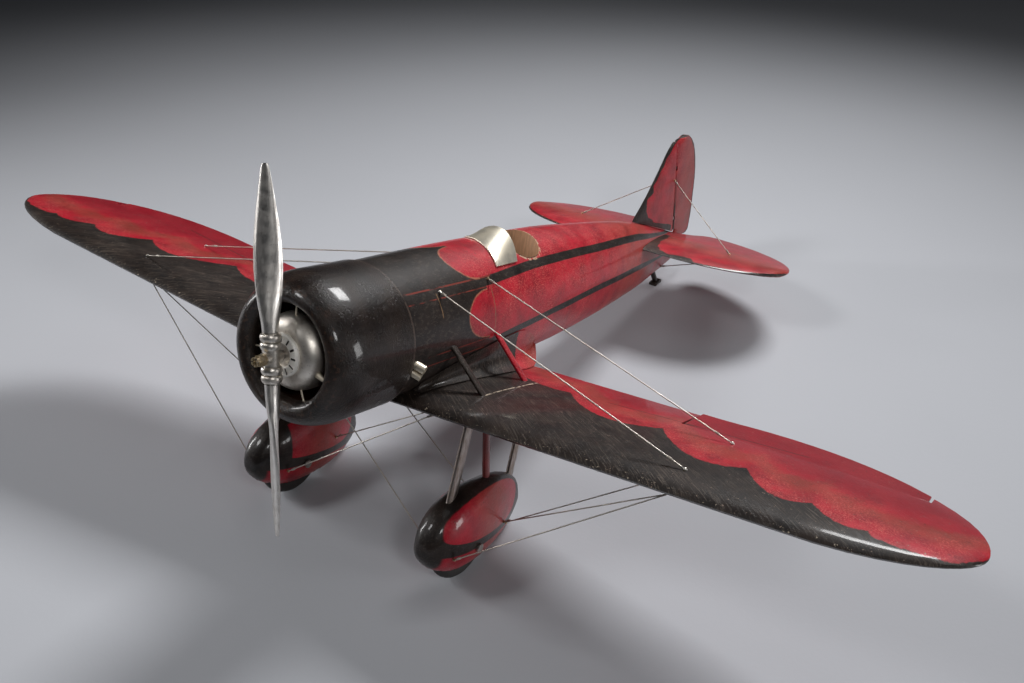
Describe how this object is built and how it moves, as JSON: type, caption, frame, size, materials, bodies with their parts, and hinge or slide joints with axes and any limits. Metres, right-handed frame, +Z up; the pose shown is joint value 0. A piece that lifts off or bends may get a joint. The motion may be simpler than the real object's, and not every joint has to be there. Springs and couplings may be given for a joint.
{
  "type": "model airplane",
  "caption": "Carved low-wing racing monoplane model with wire-braced wings, spatted wheels, turning propeller, hinged ailerons and rudder",
  "frame": {"origin": "on the ground, midway between the sides and midway between the foremost and rearmost points", "axes": "+Z up; nose towards -Y and tail towards +Y; +X towards the pilot's left wing; the model stands on its two tyres and its tail skid"},
  "size_m": [0.5, 0.4026, 0.1886],
  "materials": {
    "black_paint": "brushed black-brown gloss paint on carved wood, aged and finely wrinkled",
    "red_paint": "dark red sprayed paint with a rough satin grain over carved wood, black scalloped leading edges",
    "bright_alloy": "cast and hand-filed, satin with fine scratches",
    "steel": "turned, dull",
    "wire": "drawn wire",
    "sheet_metal": "matte sheet, tarnished pale gold",
    "metal_strut": "streamlined bar, worn",
    "red_strut": "red paint",
    "black_strut": "black paint",
    "tyre": "plain rubber",
    "wheel_alloy": "turned disc"
  },
  "bodies": {
    "airframe": {"cowl_shell": "black_paint", "firewall": "black_paint", "gear_case": "bright_alloy", "boss_ring": "bright_alloy", "dome_pins": "bright_alloy", "fuselage": "red_paint", "windshield": "sheet_metal", "exhaust_left": "sheet_metal", "exhaust_right": "sheet_metal", "wing_left": "red_paint", "wing_right": "red_paint", "fillet_left": "black_paint", "fillet_right": "black_paint", "aileron_pin_left": "steel", "aileron_pin_right": "steel", "root_strut_front_left": "metal_strut", "root_strut_rear_left": "red_strut", "root_strut_front_right": "metal_strut", "root_strut_rear_right": "red_strut", "leg_front_left": "metal_strut", "leg_middle_left": "red_strut", "leg_rear_left": "black_strut", "leg_front_right": "metal_strut", "leg_middle_right": "red_strut", "leg_rear_right": "black_strut", "spat_left": "red_paint", "spat_right": "red_paint", "axle_left": "steel", "axle_right": "steel", "tailplane_left": "red_paint", "tailplane_right": "red_paint", "fin": "red_paint", "rudder_hinges": "steel", "rudder_pin": "steel", "tail_skid": "black_strut", "anchors_left": "steel", "anchors_right": "steel", "upper_wires_left": "wire", "upper_wires_right": "wire", "lower_wires_left": "wire", "lower_wires_right": "wire", "cross_wires": "wire", "tail_wires": "wire"},
    "propeller": {"prop_shaft": "steel", "prop_hub": "bright_alloy", "blade_upper": "bright_alloy", "blade_lower": "bright_alloy", "clamp_rings": "bright_alloy", "hub_nut": "steel"},
    "wheel_left": {"wheel_left": "wheel_alloy", "tyre_left": "tyre"},
    "wheel_right": {"wheel_right": "wheel_alloy", "tyre_right": "tyre"},
    "aileron_left": {"aileron_left": "red_paint"},
    "aileron_right": {"aileron_right": "red_paint"},
    "rudder": {"rudder": "red_paint"}
  },
  "joints": [
    {"name": "propeller_spin", "type": "hinge", "parent": "airframe", "child": "propeller", "pos_m": [0, -0.18121, 0.11907], "axis": [0, 0.9622, -0.2723], "continuous": true},
    {"name": "wheel_left_roll", "type": "hinge", "parent": "airframe", "child": "wheel_left", "pos_m": [0.051, -0.13432, 0.0185], "axis": [1, 0, 0], "continuous": true},
    {"name": "wheel_right_roll", "type": "hinge", "parent": "airframe", "child": "wheel_right", "pos_m": [-0.051, -0.13432, 0.0185], "axis": [1, 0, 0], "continuous": true},
    {"name": "aileron_left_hinge", "type": "hinge", "parent": "airframe", "child": "aileron_left", "pos_m": [0.125, -0.07545, 0.07413], "axis": [0.9897, -0.07, 0.1247], "range_deg": [-20, 20]},
    {"name": "aileron_right_hinge", "type": "hinge", "parent": "airframe", "child": "aileron_right", "pos_m": [-0.125, -0.07545, 0.07413], "axis": [0.9897, 0.07, -0.1247], "range_deg": [-20, 20]},
    {"name": "rudder_hinge", "type": "hinge", "parent": "airframe", "child": "rudder", "pos_m": [0, 0.17252, 0.033], "axis": [0, -0.0906, 0.9959], "range_deg": [-25, 25]}
  ]
}
